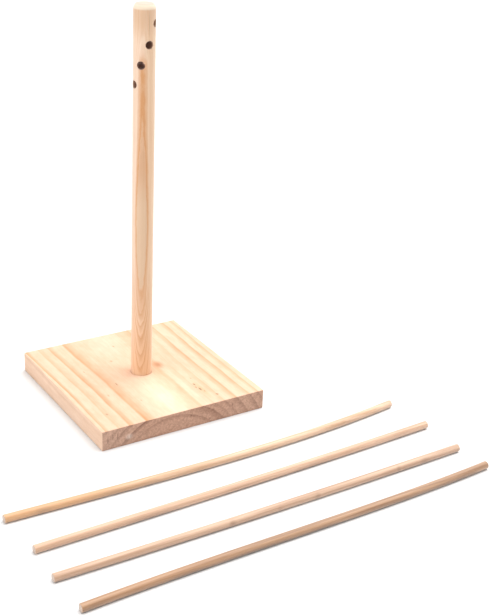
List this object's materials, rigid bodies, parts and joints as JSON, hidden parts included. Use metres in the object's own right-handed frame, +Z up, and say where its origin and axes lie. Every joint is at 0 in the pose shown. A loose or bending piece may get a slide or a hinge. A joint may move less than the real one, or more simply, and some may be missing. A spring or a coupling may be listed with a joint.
{
  "type": "pasta drying rack",
  "caption": "Square softwood board with an upright round post bored through near its top by four crossing holes, and loose long dowels that push through them as level arms.",
  "frame": {"origin": "middle of the board's underside, on the table", "axes": "+Z up along the post, -Y towards the front, where the loose rods lie on the table, +X to the right along the rods"},
  "size_m": [0.4571, 0.4183, 0.422],
  "materials": {
    "pine_board": "planed and sanded pine, uncoated, strong growth bands, pinker on the end grain",
    "pine_post": "turned and sanded pine, uncoated, an orange-brown flame down its front",
    "dowel_honey": "sanded honey-coloured dowel, uncoated",
    "dowel_pale": "sanded pale dowel, uncoated",
    "dowel_brown": "sanded brown-orange dowel, uncoated",
    "screw_steel": "bright zinc-plated steel, satin"
  },
  "bodies": {
    "stand": {"base_board": "pine_board", "post": "pine_post", "screw_left": "screw_steel", "screw_right": "screw_steel"},
    "rod_1": {"rod_1": "dowel_honey"},
    "rod_2": {"rod_2": "dowel_pale"},
    "rod_3": {"rod_3": "dowel_pale"},
    "rod_4": {"rod_4": "dowel_brown"}
  },
  "joints": [
    {"name": "rod_1_lift", "type": "slide", "parent": "stand", "child": "rod_1", "axis": [0, 0, 1], "range_m": [0, 0.399]},
    {"name": "rod_2_lift", "type": "slide", "parent": "stand", "child": "rod_2", "axis": [0, 0, 1], "range_m": [0, 0.379]},
    {"name": "rod_3_lift", "type": "slide", "parent": "stand", "child": "rod_3", "axis": [0, 0, 1], "range_m": [0, 0.359]},
    {"name": "rod_4_lift", "type": "slide", "parent": "stand", "child": "rod_4", "axis": [0, 0, 1], "range_m": [0, 0.339]}
  ]
}
